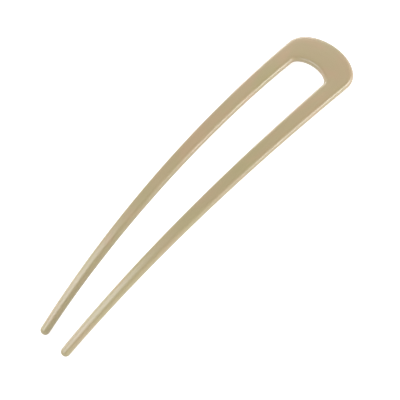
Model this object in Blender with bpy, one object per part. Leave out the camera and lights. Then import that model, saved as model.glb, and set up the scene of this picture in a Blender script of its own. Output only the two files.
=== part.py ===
# U-shaped hairpin, one piece of plastic: a rounded crown and two tapering legs.
# The flat blank is worked out first, as two rails, and then bent into its arch.
# It lies as it rests on a table, arch upwards, on its two tips and the crown's back edge.
# X runs across the legs, +Y points from the tips to the crown and +Z is up.

import math

import bmesh
import bpy
import numpy as np
from mathutils import Matrix, Vector

# Outline of the flat blank, in metres
BLANK_LENGTH = 0.115            # top of the crown to the tips, along the bent pin
CROWN_RISE = 0.0072             # the round top, down to where the outer edges run straight
CROWN_BAND = 0.0088             # top of the crown to the end of the slot
SLOT_RISE = 0.00315             # the round end of the slot
SLOT_WIDTH = 0.01185            # between the legs at the crown
LEG_WIDTH = 0.0054              # one leg at the crown
TIP_GAP = 0.0062                # between the legs at the tips
TIP_WIDTH = 0.0028              # one leg at its tip

# Section of the pin
CROWN_THICKNESS = 0.0023
TIP_THICKNESS = 0.0027
EDGE_RADIUS = 0.00108           # rounding of the four edges at the crown
TIP_ROUND_SHARE = 0.97          # rounding at the tips, as a share of the half section

# Bend of the arch: the crown stays flat, and the legs curl more and more towards their tips
CROWN_BEND_RADIUS = 0.235
TIP_BEND_RADIUS = 0.180
SPLAY_POWER = 1.5               # over 1, the legs leave the crown parallel and draw in later

# How finely the surface is divided
CROWN_STEPS = 16
LEG_STEPS = 28
CAP_STEPS = 6
EDGE_STEPS = 4
BEND_STEPS = 400
SHARP_ANGLE = math.radians(40)

# Colour and gloss of the plastic
PLASTIC_COLOUR = (0.485, 0.392, 0.231, 1.0)
PLASTIC_ROUGHNESS = 0.34
PLASTIC_METALLIC = 0.0

# Sizes that follow from those above
OUTER_HALF = SLOT_WIDTH / 2 + LEG_WIDTH
TIP_OUTER_HALF = TIP_GAP / 2 + TIP_WIDTH
BEND_START = CROWN_BAND + SLOT_RISE
CAP_START = BLANK_LENGTH - TIP_WIDTH / 2


# Remove the objects of an open scene, so that the part stands alone
def clear_scene():
    for scene_object in list(bpy.data.objects):
        bpy.data.objects.remove(scene_object, do_unlink=True)


# A quarter of the crown's ellipse and of the slot end's, in matching steps of angle.
# A rail point is (x, distance from the top of the crown) on the flat blank.
def crown_rails():
    stations = []
    for step in range(CROWN_STEPS + 1):
        angle = math.pi / 2 * step / CROWN_STEPS
        outer = Vector((OUTER_HALF * math.sin(angle), CROWN_RISE * (1 - math.cos(angle))))
        inner = Vector((SLOT_WIDTH / 2 * math.sin(angle), CROWN_BAND + SLOT_RISE * (1 - math.cos(angle))))
        stations.append((outer, inner, 0.0))
    return stations


# One leg, whose width falls evenly and whose outer edge draws in as a power of the way down
def leg_rails():
    stations = []
    for step in range(1, LEG_STEPS + 1):
        way = step / LEG_STEPS
        width = LEG_WIDTH + (TIP_WIDTH - LEG_WIDTH) * way
        outer_x = OUTER_HALF + (TIP_OUTER_HALF - OUTER_HALF) * way ** SPLAY_POWER
        outer = Vector((outer_x, CROWN_RISE + (CAP_START - CROWN_RISE) * way))
        inner = Vector((outer_x - width, BEND_START + (CAP_START - BEND_START) * way))
        stations.append((outer, inner, way))
    return stations


# Rounded rectangle of the section, as (across, up) points that start at the outer side
def section_outline(half_width, half_height, radius):
    points = []
    for quadrant, (side, face) in enumerate(((1, 1), (-1, 1), (-1, -1), (1, -1))):
        for step in range(EDGE_STEPS + 1):
            angle = math.pi / 2 * (quadrant + step / EDGE_STEPS)
            across = side * (half_width - radius) + radius * math.cos(angle)
            up = face * (half_height - radius) + radius * math.sin(angle)
            points.append((across, up))
    return points


# Half thickness and edge radius at a share of the way down the leg
def section_sizes(half_width, way):
    half_height = (CROWN_THICKNESS + (TIP_THICKNESS - CROWN_THICKNESS) * way) / 2
    full_radius = TIP_ROUND_SHARE * min(half_width, half_height)
    radius = min(EDGE_RADIUS + (full_radius - EDGE_RADIUS) * way, full_radius)
    return half_height, radius


# Rings of one half of the flat pin, from the middle of the crown to where the tip's round starts
def flat_rings():
    rings = []
    for outer, inner, way in crown_rails() + leg_rails():
        middle = (outer + inner) / 2
        across = (outer - inner).normalized()
        half_width = (outer - inner).length / 2
        half_height, radius = section_sizes(half_width, way)
        outline = section_outline(half_width, half_height, radius)
        rings.append([(*(middle + across * side), up) for side, up in outline])
    return rings


# Rings that close a leg in a half round, and the pole at its very end
def tip_cap():
    half_width = TIP_WIDTH / 2
    half_height, radius = section_sizes(half_width, 1.0)
    tip_x = TIP_OUTER_HALF - half_width
    rings = []
    for step in range(1, CAP_STEPS):
        angle = math.pi / 2 * step / CAP_STEPS
        shrink = math.cos(angle)
        along = CAP_START + half_width * math.sin(angle)
        outline = section_outline(half_width * shrink, half_height * shrink, radius * shrink)
        rings.append([(tip_x + side, along, up) for side, up in outline])
    return rings, (tip_x, BLANK_LENGTH, 0.0)


# Angle by which the bent pin dips at each distance from the top of the crown.
# The curvature grows evenly from one bend radius to the other.
def dip_angle(distance):
    bent = np.clip(distance - BEND_START, 0.0, None)
    growth = (1 / TIP_BEND_RADIUS - 1 / CROWN_BEND_RADIUS) / (BLANK_LENGTH - BEND_START)
    return bent / CROWN_BEND_RADIUS + growth * bent ** 2 / 2


# Middle line of the bent pin, as tables of distance, y, z and dip
def bent_line():
    distance = np.linspace(0.0, BLANK_LENGTH, BEND_STEPS + 1)
    dip = dip_angle(distance)
    mid_dip = (dip[1:] + dip[:-1]) / 2
    stride = BLANK_LENGTH / BEND_STEPS
    y = -np.concatenate(([0.0], np.cumsum(np.cos(mid_dip)))) * stride
    z = -np.concatenate(([0.0], np.cumsum(np.sin(mid_dip)))) * stride
    return distance, y, z, dip


# Carry a point of the flat pin to its place on the bent one
def bend_point(point, line):
    x, along, up = point
    distance, y, z, dip = line
    turn = np.interp(along, distance, dip)
    bent_y = np.interp(along, distance, y) - up * math.sin(turn)
    bent_z = np.interp(along, distance, z) + up * math.cos(turn)
    return Vector((x, bent_y, bent_z))


# Turn that lays the pin on its tips and on the crown's back edge: the lower line
# that touches the round of that edge and the round of the tips
def resting_turn(line):
    half_height, radius = section_sizes(CROWN_BAND / 2, 0.0)
    crown_round = bend_point((0.0, radius, radius - half_height), line)
    tip_round = bend_point((0.0, CAP_START, 0.0), line)
    reach = crown_round - tip_round
    slope = math.atan2(reach.z, reach.y)
    slope += math.asin((TIP_THICKNESS / 2 - radius) / reach.length)
    return Matrix.Rotation(-slope, 4, "X")


# Join the rings of both halves into one closed skin, tip to tip round the crown
def loft_pin():
    line = bent_line()
    cap_rings, half_pole = tip_cap()
    half_rings = flat_rings() + cap_rings
    mirrored = [[(-x, along, up) for x, along, up in ring] for ring in half_rings[:0:-1]]
    mesh_edit = bmesh.new()
    loops = []
    for ring in mirrored + half_rings:
        loops.append([mesh_edit.verts.new(bend_point(point, line)) for point in ring])
    for loop, following in zip(loops, loops[1:]):
        for index in range(len(loop)):
            after = (index + 1) % len(loop)
            mesh_edit.faces.new((loop[index], loop[after], following[after], following[index]))
    for loop, side in ((loops[0], -1), (loops[-1], 1)):
        pole = mesh_edit.verts.new(bend_point((side * half_pole[0], *half_pole[1:]), line))
        for index in range(len(loop)):
            mesh_edit.faces.new((loop[index], loop[(index + 1) % len(loop)], pole))
    bmesh.ops.recalc_face_normals(mesh_edit, faces=mesh_edit.faces)
    bmesh.ops.transform(mesh_edit, matrix=resting_turn(line), verts=mesh_edit.verts)
    return mesh_edit


# Put the origin under the middle of the pin, on the surface that it lies on
def centre_on_origin(mesh_edit):
    corners = np.array([vertex.co for vertex in mesh_edit.verts])
    low = corners.min(axis=0)
    middle = (low + corners.max(axis=0)) / 2
    shift = Vector((-middle[0], -middle[1], -low[2]))
    bmesh.ops.translate(mesh_edit, vec=shift, verts=mesh_edit.verts)


# Satin plastic in the colour of pale horn
def make_plastic():
    plastic = bpy.data.materials.new("horn_beige_plastic")
    plastic.use_nodes = True
    shader = plastic.node_tree.nodes["Principled BSDF"]
    shader.inputs["Base Color"].default_value = PLASTIC_COLOUR
    shader.inputs["Roughness"].default_value = PLASTIC_ROUGHNESS
    shader.inputs["Metallic"].default_value = PLASTIC_METALLIC
    return plastic


# The hairpin itself
def make_hairpin():
    mesh_edit = loft_pin()
    centre_on_origin(mesh_edit)
    mesh = bpy.data.meshes.new("hairpin")
    mesh_edit.to_mesh(mesh)
    mesh_edit.free()
    mesh.shade_smooth()
    mesh.set_sharp_from_angle(angle=SHARP_ANGLE)
    mesh.materials.append(make_plastic())
    hairpin = bpy.data.objects.new("hairpin", mesh)
    bpy.context.scene.collection.objects.link(hairpin)
    return hairpin


clear_scene()
make_hairpin()
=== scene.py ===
import math

import bpy
import numpy as np
from mathutils import Matrix, Vector


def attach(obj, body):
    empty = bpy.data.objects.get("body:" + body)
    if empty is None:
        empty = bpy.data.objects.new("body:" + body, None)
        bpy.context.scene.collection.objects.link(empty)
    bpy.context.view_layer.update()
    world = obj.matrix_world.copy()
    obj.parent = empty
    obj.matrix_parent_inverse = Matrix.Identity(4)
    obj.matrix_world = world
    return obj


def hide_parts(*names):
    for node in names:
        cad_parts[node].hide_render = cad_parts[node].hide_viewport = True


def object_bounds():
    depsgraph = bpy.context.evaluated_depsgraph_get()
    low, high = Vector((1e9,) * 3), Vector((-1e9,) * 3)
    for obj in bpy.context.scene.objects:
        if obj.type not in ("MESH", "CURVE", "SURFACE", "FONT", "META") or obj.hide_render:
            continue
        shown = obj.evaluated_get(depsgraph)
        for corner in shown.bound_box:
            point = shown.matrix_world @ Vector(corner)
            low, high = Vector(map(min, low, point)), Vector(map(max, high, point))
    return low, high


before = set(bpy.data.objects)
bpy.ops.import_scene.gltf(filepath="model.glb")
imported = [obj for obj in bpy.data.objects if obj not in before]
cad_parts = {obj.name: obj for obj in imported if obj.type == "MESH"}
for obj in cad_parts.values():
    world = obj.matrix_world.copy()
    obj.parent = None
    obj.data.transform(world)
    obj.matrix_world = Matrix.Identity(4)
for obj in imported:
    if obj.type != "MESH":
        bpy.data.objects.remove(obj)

cadLow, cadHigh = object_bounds()
print("frame loaded")

millimetre = 0.001


# Small helpers

def addNode(tree, kind, **settings):
    node = tree.nodes.new(kind)
    for name, value in settings.items():
        setattr(node, name, value)
    return node


def freshMaterial(name):
    material = bpy.data.materials.new(name)
    material.use_nodes = True
    material.node_tree.nodes.clear()
    return material, material.node_tree


# The hairpin: a blank between two rails, with a soft-cornered section, bent into an arch

hairpinSizes = {
    "blankLength": 115.0,      # mm, top of the crown to the tips along the bend
    "crownRise": 7.2,          # mm, height of the round top
    "crownBand": 8.8,          # mm, top of the crown to the slot
    "slotRise": 3.15,          # mm, height of the slot's round end
    "slotWidth": 11.85,        # mm, between the legs at the crown
    "legWidth": 5.4,           # mm, one leg at the crown
    "tipGap": 6.2,             # mm, between the legs at the tips
    "tipWidth": 2.8,           # mm, one leg at its tip
    "crownThickness": 2.3,     # mm
    "tipThickness": 2.7,       # mm
    "edgeRadius": 1.08,        # mm, rounding of the edges at the crown
    "tipRound": 0.97,          # rounding at the tips, as a share of the half section
    "crownBend": 235.0,        # mm, bend radius where the legs start
    "tipBend": 180.0,          # mm, bend radius at the tips
    "splayPower": 1.5,         # over 1, the legs draw in later
    "faceDome": 0.10,          # mm, how far polishing has lowered the faces at their edges
}

# Patches where the plastic's own tone looks warmer, or cooler where the strength is below 0:
# place along the pin from the left tip and half length, in mm, and strength.
# The cool patch at 206 mm, near the right tip, is a painted highlight: its cooler, more neutral
# tone stands in for the whiter highlight there.
tintAndHighlightPatches = (
    (70, 8, 1.0), (89, 5, 0.8), (106, 12, 0.4), (124, 4, 1.2),
    (137, 5, 0.6), (180, 8, -0.4), (206, 10, -0.5),
)

hairpinMesh = {
    "crownRows": 56,           # rows along a quarter of the crown
    "legRows": 260,            # rows down one leg
    "capRows": 14,             # rows round a tip
    "cornerColumns": 9,        # columns round each edge
    "flatColumns": 7,          # columns across each face and side
    "bendSteps": 4000,         # steps along the middle line as it is bent
}


# Rails of one half: quarter ellipses round the crown and the slot's end, then a leg whose width
# falls evenly while its outer edge draws in as a power of the way down, then a half-round tip.
# Gives each row's middle (x, along), its unit vector across, half width, half thickness and
# edge radius.
def hairpinRows(s, m):
    outerHalf = s["slotWidth"] / 2 + s["legWidth"]
    tipOuterHalf = s["tipGap"] / 2 + s["tipWidth"]
    bendStart = s["crownBand"] + s["slotRise"]
    capStart = s["blankLength"] - s["tipWidth"] / 2
    turn = np.linspace(0, np.pi / 2, m["crownRows"])
    way = np.linspace(0, 1, m["legRows"] + 1)[1:]
    width = s["legWidth"] + (s["tipWidth"] - s["legWidth"]) * way
    outerX = outerHalf + (tipOuterHalf - outerHalf) * way ** s["splayPower"]
    crownDrop = s["crownRise"] * (1 - np.cos(turn))
    slotDrop = s["crownBand"] + s["slotRise"] * (1 - np.cos(turn))
    outer = np.stack([
        np.concatenate([outerHalf * np.sin(turn), outerX]),
        np.concatenate([crownDrop, s["crownRise"] + (capStart - s["crownRise"]) * way]),
    ], axis=1)
    inner = np.stack([
        np.concatenate([s["slotWidth"] / 2 * np.sin(turn), outerX - width]),
        np.concatenate([slotDrop, bendStart + (capStart - bendStart) * way]),
    ], axis=1)
    middle = (outer + inner) / 2
    halfWidth = np.linalg.norm(outer - inner, axis=1) / 2
    across = (outer - inner) / (2 * halfWidth[:, None])
    wayDown = np.concatenate([np.zeros(len(turn)), way])
    halfHeight = (s["crownThickness"] + (s["tipThickness"] - s["crownThickness"]) * wayDown) / 2
    fullRadius = s["tipRound"] * np.minimum(halfWidth, halfHeight)
    radius = np.minimum(s["edgeRadius"] + (fullRadius - s["edgeRadius"]) * wayDown, fullRadius)
    capTurn = np.linspace(0, np.pi / 2, m["capRows"] + 1)[1:-1]
    capAlong = capStart + s["tipWidth"] / 2 * np.sin(capTurn)
    capMiddle = np.stack([np.full(len(capTurn), middle[-1, 0]), capAlong], axis=1)
    middle = np.concatenate([middle, capMiddle])
    across = np.concatenate([across, np.tile(across[-1:], (len(capTurn), 1))])
    shrink = np.concatenate([np.ones(len(halfWidth)), np.cos(capTurn)])
    last = [values[-1] for values in (halfWidth, halfHeight, radius)]
    halfWidth, halfHeight, radius = (
        np.concatenate([values, np.full(len(capTurn), end)]) * shrink
        for values, end in zip((halfWidth, halfHeight, radius), last)
    )
    return middle, across, halfWidth, halfHeight, radius


# Section of each row: a rounded rectangle whose faces fall away a little towards their edges,
# up = up * (1 - dome * (across / half width) squared). Gives (across, up) of every column.
def hairpinSection(halfWidth, halfHeight, radius, s, m):
    flats = m["flatColumns"] - 1
    roundShare = np.concatenate([np.linspace(0, 1, m["cornerColumns"]), np.ones(flats)])
    flatShare = np.linspace(0, 1, m["flatColumns"] + 1)[1:-1]
    slide = np.tile(np.concatenate([np.zeros(m["cornerColumns"]), flatShare]), 4)
    corner = np.repeat(np.arange(4), m["cornerColumns"] + flats)
    angle = (corner + np.tile(roundShare, 4)) * np.pi / 2
    sideSigns = np.array([1, -1, -1, 1, 1])
    faceSigns = np.array([1, 1, -1, -1, 1])
    side = sideSigns[corner] + (sideSigns[corner + 1] - sideSigns[corner]) * slide
    face = faceSigns[corner] + (faceSigns[corner + 1] - faceSigns[corner]) * slide
    sideways = side * (halfWidth - radius)[:, None] + radius[:, None] * np.cos(angle)
    up = face * (halfHeight - radius)[:, None] + radius[:, None] * np.sin(angle)
    dome = s["faceDome"] / halfHeight.max()
    up = up * (1 - dome * (sideways / halfWidth[:, None]) ** 2)
    return sideways, up


# Bend: the middle line dips by an angle whose rate grows evenly from one bend radius to the other,
# and each point stands off the line square to it.
def bendHairpin(along, up, s, m):
    bendStart = s["crownBand"] + s["slotRise"]
    line = np.linspace(0, s["blankLength"], m["bendSteps"] + 1)
    bent = np.clip(line - bendStart, 0, None)
    growth = (1 / s["tipBend"] - 1 / s["crownBend"]) / (s["blankLength"] - bendStart)
    dip = bent / s["crownBend"] + growth * bent ** 2 / 2
    middleDip = (dip[1:] + dip[:-1]) / 2
    stride = s["blankLength"] / m["bendSteps"]
    lineY = -np.concatenate([[0], np.cumsum(np.cos(middleDip))]) * stride
    lineZ = -np.concatenate([[0], np.cumsum(np.sin(middleDip))]) * stride
    turn = np.interp(along, line, dip)
    y = np.interp(along, line, lineY) - up * np.sin(turn)
    z = np.interp(along, line, lineZ) + up * np.cos(turn)
    return y, z


# Turn in the side view that lays the hairpin on its tips and on the crown's back edge:
# the slope of the lower line that touches both rounds.
def restingSlope(s, m):
    crownY, crownZ = bendHairpin(s["edgeRadius"], s["edgeRadius"] - s["crownThickness"] / 2, s, m)
    tipY, tipZ = bendHairpin(s["blankLength"] - s["tipWidth"] / 2, 0.0, s, m)
    reach = math.hypot(crownY - tipY, crownZ - tipZ)
    roundsDiffer = math.asin((s["tipThickness"] / 2 - s["edgeRadius"]) / reach)
    return math.atan2(crownZ - tipZ, crownY - tipY) + roundsDiffer


# The whole surface on a grid: rows from the left tip round the crown to the right tip, and
# columns round the section. Also gives the two poles, and where each point lies on the pin as
# if it were laid out straight: across, along from the left tip, and up.
def hairpinSurface(s, m):
    middle, across, halfWidth, halfHeight, radius = hairpinRows(s, m)
    sideways, up = hairpinSection(halfWidth, halfHeight, radius, s, m)
    x = middle[:, 0:1] + across[:, 0:1] * sideways
    along = middle[:, 1:2] + across[:, 1:2] * sideways
    y, z = bendHairpin(along, up, s, m)
    slope = -restingSlope(s, m)
    y, z = y * math.cos(slope) - z * math.sin(slope), y * math.sin(slope) + z * math.cos(slope)
    poleY, poleZ = bendHairpin(s["blankLength"], 0.0, s, m)
    pole = np.array([
        middle[-1, 0],
        poleY * math.cos(slope) - poleZ * math.sin(slope),
        poleY * math.sin(slope) + poleZ * math.cos(slope),
    ])
    half = np.stack([x, y, z], axis=2)
    mirror = np.array([-1, 1, 1])
    grid = np.concatenate([half[:0:-1] * mirror, half])
    strides = np.linalg.norm(np.diff(grid.mean(axis=1), axis=0), axis=1)
    reach = np.concatenate([[0], np.cumsum(strides)])
    flat = np.stack([
        np.concatenate([sideways[:0:-1], sideways]),
        np.broadcast_to(reach[:, None], grid.shape[:2]),
        np.concatenate([up[:0:-1], up]),
    ], axis=2)
    return grid, np.stack([pole * mirror, pole]), flat


# Quads between neighbouring rows and columns, with a fan to the pole at each tip
def gridFaces(rows, columns):
    row, column = np.meshgrid(np.arange(rows - 1), np.arange(columns), indexing="ij")
    after = (column + 1) % columns
    here, following = row * columns, (row + 1) * columns
    quads = np.stack([here + column, here + after, following + after, following + column], axis=2)
    quads = quads.reshape(-1, 4)
    column = np.arange(columns)
    after = (column + 1) % columns
    firstPole = rows * columns
    lastRow = (rows - 1) * columns
    firstFan = np.stack([after, column, np.full(columns, firstPole)], axis=1)
    lastFan = np.stack([lastRow + column, lastRow + after, np.full(columns, firstPole + 1)], axis=1)
    return quads, np.concatenate([firstFan, lastFan])


# Bring the surface from mm to the frame's metres, so that it fills the frame's box and no more
def fitToFrame(points):
    low, high = points.min(axis=0), points.max(axis=0)
    frameLow, frameHigh = np.array(cadLow), np.array(cadHigh)
    scale = min((frameHigh - frameLow) / (high - low))
    points = (points - (low + high) / 2) * scale
    middle = (frameLow + frameHigh) / 2
    points += middle
    points[:, 2] += frameLow[2] - points[:, 2].min()
    return points


# Warmth along the pin, with the painted highlight near the right tip as a cool patch: the sum of
# bell curves, strength * exp(-((along - place) / half length) squared)
def patchTintAndHighlight(along):
    place, halfLength, strength = np.array(tintAndHighlightPatches).T
    return (strength * np.exp(-((along[:, None] - place) / halfLength) ** 2)).sum(axis=1)


# The hairpin's mesh, with each point's place on the straight pin and its warmth, which near the
# right tip holds a painted highlight
def makeHairpin():
    grid, poles, flat = hairpinSurface(hairpinSizes, hairpinMesh)
    rows, columns = grid.shape[:2]
    points = fitToFrame(np.concatenate([grid.reshape(-1, 3), poles]))
    quads, fans = gridFaces(rows, columns)
    mesh = bpy.data.meshes.new("hairpinBody")
    mesh.from_pydata(points.tolist(), [], quads.tolist() + fans.tolist())
    mesh.update()
    mesh.polygons.foreach_set("use_smooth", np.ones(len(mesh.polygons), dtype=bool))
    flatPoles = np.stack([flat[0].mean(axis=0), flat[-1].mean(axis=0)])
    flatPoints = np.concatenate([flat.reshape(-1, 3), flatPoles])
    flatPlace = mesh.attributes.new("flatPlace", "FLOAT_VECTOR", "POINT")
    flatPlace.data.foreach_set("vector", flatPoints.ravel())
    warmth = mesh.attributes.new("warmth", "FLOAT", "POINT")
    warmth.data.foreach_set("value", patchTintAndHighlight(flatPoints[:, 1]))
    obj = bpy.data.objects.new("hairpinBody", mesh)
    bpy.context.scene.collection.objects.link(obj)
    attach(obj, "root")
    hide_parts("hairpin")
    return obj


hairpin = makeHairpin()
print("hairpin made:", len(hairpin.data.polygons), "faces")


# The plastic: opaque pale horn beige, hand polished, with faint clouds and lengthwise grain.
# Patterns follow flatPlace: across, along and through the pin, in mm, as if it were laid out
# straight. A range says where a noise's values start and stop to count.

plasticLook = {
    "colour": (0.460, 0.366, 0.211, 1),
    "warmColour": (0.494, 0.358, 0.214, 1),
    "greenColour": (0.440, 0.371, 0.200, 1),
    "cloudsPerMm": (0.15, 0.09, 0.15),
    "warmCloudsFiner": 1.7,    # how much finer the warm clouds are than the green ones
    "warmRange": (0.5, 0.85),
    "warmShare": 0.9,          # how much of the warm colour shows at most
    "patchPull": 0.2,          # how far the warm and cool patches shift the clouds
    "grainPerMm": (0.9, 0.06, 0.9),
    "grainDepth": 0.015,       # how much darker the grain is, 0 to 1
    "polishPerMm": (0.25, 0.12, 0.25),
    "polishRange": (0.2, 0.8),
    "roughness": (0.29, 0.37),  # polished and duller places
    "coat": 1.0,
    "coatRoughness": 0.25,
    "wavesPerMm": (0.5, 0.2, 0.5),
    "waveHeight": 0.010,       # mm, unevenness left by polishing
    "scratchesPerMm": (1.2, 0.15, 1.2),
    "scratchHeight": 0.0008,   # mm
}

commonRange = (0.35, 0.65)     # where most of a noise's values lie


# flatPlace, times the pattern's scale in each direction
def patternPlace(tree, perMm):
    place = addNode(tree, "ShaderNodeAttribute", attribute_name="flatPlace")
    mapping = addNode(tree, "ShaderNodeMapping")
    mapping.inputs["Scale"].default_value = perMm
    tree.links.new(place.outputs["Vector"], mapping.inputs["Vector"])
    return mapping.outputs["Vector"]


def noise(tree, perMm, detail=1):
    texture = addNode(tree, "ShaderNodeTexNoise")
    texture.inputs["Scale"].default_value = 1.0
    texture.inputs["Detail"].default_value = detail
    tree.links.new(patternPlace(tree, perMm), texture.inputs["Vector"])
    return texture.outputs["Fac"]


# low below the range, high above it, and a smooth step between
def spread(tree, value, low, high, counted=commonRange):
    ramp = addNode(tree, "ShaderNodeMapRange", interpolation_type="SMOOTHSTEP")
    ramp.inputs["From Min"].default_value, ramp.inputs["From Max"].default_value = counted
    ramp.inputs["To Min"].default_value = low
    ramp.inputs["To Max"].default_value = high
    tree.links.new(value, ramp.inputs["Value"])
    return ramp.outputs["Result"]


# Two colours, each a socket or a plain value, mixed by a factor
def blend(tree, factor, first, second, mode="MIX"):
    mix = addNode(tree, "ShaderNodeMix", data_type="RGBA", blend_type=mode)
    for name, value in (("Factor", factor), ("A", first), ("B", second)):
        socket = mix.inputs[name]
        if isinstance(value, bpy.types.NodeSocket):
            tree.links.new(value, socket)
        else:
            socket.default_value = value
    return mix.outputs["Result"]


# value + amount * patches
def pull(tree, value, patches, amount):
    shifted = addNode(tree, "ShaderNodeMath", operation="MULTIPLY_ADD")
    shifted.inputs[1].default_value = amount
    tree.links.new(patches, shifted.inputs[0])
    tree.links.new(value, shifted.inputs[2])
    return shifted.outputs["Value"]


# A bump whose height in mm follows a noise, on top of another bump's normal if there is one
def bump(tree, perMm, height, under=None):
    node = addNode(tree, "ShaderNodeBump")
    node.inputs["Distance"].default_value = height * millimetre
    tree.links.new(noise(tree, perMm), node.inputs["Height"])
    if under:
        tree.links.new(under, node.inputs["Normal"])
    return node.outputs["Normal"]


def makePlastic(look):
    material, tree = freshMaterial("horn beige plastic")
    output = addNode(tree, "ShaderNodeOutputMaterial")
    shader = addNode(tree, "ShaderNodeBsdfPrincipled")
    shader.inputs["Coat Weight"].default_value = look["coat"]
    shader.inputs["Coat Roughness"].default_value = look["coatRoughness"]
    # The warmth attribute shifts the colour. Its warm patches are the plastic's own tone, and its
    # cool patch near the right tip is a painted highlight.
    patches = addNode(tree, "ShaderNodeAttribute", attribute_name="warmth").outputs["Fac"]
    clouds = pull(tree, noise(tree, look["cloudsPerMm"], 2), patches, look["patchPull"])
    finer = tuple(value * look["warmCloudsFiner"] for value in look["cloudsPerMm"])
    warmth = pull(tree, noise(tree, finer), patches, look["patchPull"])
    grain = noise(tree, look["grainPerMm"])
    colour = blend(tree, spread(tree, clouds, 0, 1), look["greenColour"], look["colour"])
    warmFactor = spread(tree, warmth, 0, look["warmShare"], look["warmRange"])
    colour = blend(tree, warmFactor, colour, look["warmColour"])
    shade = 1 - look["grainDepth"]
    colour = blend(tree, spread(tree, grain, 1, 0), colour, (shade, shade, shade, 1), "MULTIPLY")
    tree.links.new(colour, shader.inputs["Base Color"])
    polish = spread(tree, noise(tree, look["polishPerMm"]), *look["roughness"], look["polishRange"])
    tree.links.new(polish, shader.inputs["Roughness"])
    waves = bump(tree, look["wavesPerMm"], look["waveHeight"])
    scratches = bump(tree, look["scratchesPerMm"], look["scratchHeight"], waves)
    tree.links.new(scratches, shader.inputs["Normal"])
    tree.links.new(waves, shader.inputs["Coat Normal"])
    tree.links.new(shader.outputs["BSDF"], output.inputs["Surface"])
    return material


hairpin.data.materials.append(makePlastic(plasticLook))
print("plastic made")


# Floor, light and camera

stage = {
    "floorSize": 3.0,          # m
    "floorColour": (0.9, 0.9, 0.9, 1),
    "floorGlow": 0.70,         # added for the camera, so that the table comes out white
    "roomStrength": 0.43,      # soft light from all round
    "ceilingStrength": 0.25,   # the room overhead, as mirror-like surfaces show it
    "ceilingRange": (0.25, 0.55),  # sines of the angles up at which it begins and is full
    "softboxDistance": 0.6,    # m, from the hairpin to each softbox
}

# Softboxes that face the hairpin: azimuth and elevation in degrees, width and height in m
softboxes = {
    "rightPanel": {"azimuth": 36, "elevation": 9, "size": (0.64, 0.22), "brightness": 7.1},
    "sidePanel": {"azimuth": -85, "elevation": 48, "size": (0.34, 0.30), "brightness": 2.5},
    "cornerPanel": {"azimuth": -128, "elevation": 52, "size": (0.34, 0.24), "brightness": 4.1},
    "lowPanel": {"azimuth": -154, "elevation": 12, "size": (0.26, 0.30), "brightness": 2.2},
    "leftPanel": {"azimuth": 143, "elevation": 17, "size": (0.40, 0.26), "brightness": 4.3},
}

cameraView = {
    "lens": 99.01,             # mm
    "sensor": 36,              # mm
    "nearest": 0.01,           # m, the nearest that it sees
    "place": (0.13325, -0.02516, 0.27278),
    # From the world's axes to the camera's: axis, times the angle in radians
    "turn": (-0.24760, -0.39655, -0.73213),
}


# 1 where the ray comes from the camera, a mirror-like surface or clear glass, and 0 for soft light
def directlySeen(tree, withCamera=True):
    path = addNode(tree, "ShaderNodeLightPath")
    seen = addNode(tree, "ShaderNodeMath", operation="MAXIMUM")
    tree.links.new(path.outputs["Is Glossy Ray"], seen.inputs[0])
    tree.links.new(path.outputs["Is Transmission Ray"], seen.inputs[1])
    if withCamera:
        both = addNode(tree, "ShaderNodeMath", operation="MAXIMUM")
        tree.links.new(seen.outputs["Value"], both.inputs[0])
        tree.links.new(path.outputs["Is Camera Ray"], both.inputs[1])
        seen = both
    return path, seen.outputs["Value"]


# A matt table that glows a little for the camera and is plain white to mirror-like surfaces
def makeFloor():
    half = stage["floorSize"] / 2
    corners = [(-half, -half, 0), (half, -half, 0), (half, half, 0), (-half, half, 0)]
    mesh = bpy.data.meshes.new("floor")
    mesh.from_pydata(corners, [], [(0, 1, 2, 3)])
    floor = bpy.data.objects.new("floor", mesh)
    bpy.context.scene.collection.objects.link(floor)
    material, tree = freshMaterial("white table")
    output = addNode(tree, "ShaderNodeOutputMaterial")
    matt = addNode(tree, "ShaderNodeBsdfDiffuse")
    matt.inputs["Color"].default_value = stage["floorColour"]
    glow = addNode(tree, "ShaderNodeEmission")
    white = addNode(tree, "ShaderNodeEmission")
    lit = addNode(tree, "ShaderNodeAddShader")
    mix = addNode(tree, "ShaderNodeMixShader")
    path, mirrored = directlySeen(tree, withCamera=False)
    strength = addNode(tree, "ShaderNodeMath", operation="MULTIPLY")
    strength.inputs[1].default_value = stage["floorGlow"]
    tree.links.new(path.outputs["Is Camera Ray"], strength.inputs[0])
    tree.links.new(strength.outputs["Value"], glow.inputs["Strength"])
    tree.links.new(matt.outputs["BSDF"], lit.inputs[0])
    tree.links.new(glow.outputs["Emission"], lit.inputs[1])
    tree.links.new(mirrored, mix.inputs["Fac"])
    tree.links.new(lit.outputs["Shader"], mix.inputs[1])
    tree.links.new(white.outputs["Emission"], mix.inputs[2])
    tree.links.new(mix.outputs["Shader"], output.inputs["Surface"])
    mesh.materials.append(material)


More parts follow.
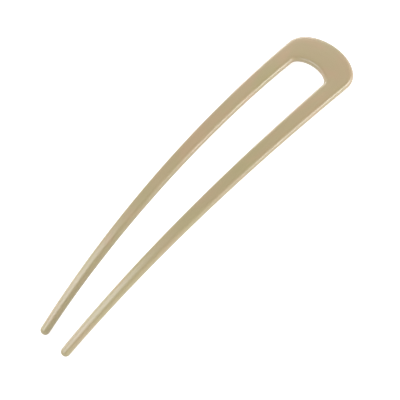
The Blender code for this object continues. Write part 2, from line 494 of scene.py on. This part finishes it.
# A soft grey-white light for the object, and a white room with a darker ceiling where it is seen
def makeWorld():
    world = bpy.data.worlds.new("white room")
    world.use_nodes = True
    tree = world.node_tree
    background = tree.nodes["Background"]
    background.inputs["Color"].default_value = (1, 1, 1, 1)
    direction = addNode(tree, "ShaderNodeTexCoord")
    height = addNode(tree, "ShaderNodeSeparateXYZ")
    tree.links.new(direction.outputs["Generated"], height.inputs["Vector"])
    wall, ceiling = 1.0, stage["ceilingStrength"]
    backdrop = spread(tree, height.outputs["Z"], wall, ceiling, stage["ceilingRange"])
    strength = addNode(tree, "ShaderNodeMapRange")
    strength.inputs["To Min"].default_value = stage["roomStrength"]
    tree.links.new(backdrop, strength.inputs["To Max"])
    tree.links.new(directlySeen(tree)[1], strength.inputs["Value"])
    tree.links.new(strength.outputs["Result"], background.inputs["Strength"])
    bpy.context.scene.world = world


# A lamp of power p over an area a has a brightness of p / (pi a)
def makeSoftbox(name, box):
    lamp = bpy.data.lights.new(name, "AREA")
    lamp.shape = "RECTANGLE"
    lamp.size, lamp.size_y = box["size"]
    lamp.energy = box["brightness"] * math.pi * lamp.size * lamp.size_y
    azimuth, elevation = math.radians(box["azimuth"]), math.radians(box["elevation"])
    level = math.cos(elevation)
    outward = Vector((level * math.cos(azimuth), level * math.sin(azimuth), math.sin(elevation)))
    obj = bpy.data.objects.new(name, lamp)
    bpy.context.scene.collection.objects.link(obj)
    facing = outward.to_track_quat("Z", "Y").to_matrix().to_4x4()
    obj.matrix_world = Matrix.Translation(outward * stage["softboxDistance"]) @ facing


def makeCamera():
    data = bpy.data.cameras.new("camera")
    data.lens = cameraView["lens"]
    data.sensor_width = cameraView["sensor"]
    data.clip_start = cameraView["nearest"]
    camera = bpy.data.objects.new("camera", data)
    bpy.context.scene.collection.objects.link(camera)
    turn = Vector(cameraView["turn"])
    rotation = Matrix.Rotation(turn.length, 3, turn.normalized())
    camera.matrix_world = Matrix.Translation(cameraView["place"]) @ rotation.transposed().to_4x4()
    bpy.context.scene.camera = camera


makeFloor()
makeWorld()
for name, box in softboxes.items():
    makeSoftbox(name, box)
makeCamera()
bpy.context.scene.view_settings.view_transform = "Standard"
print("stage made")
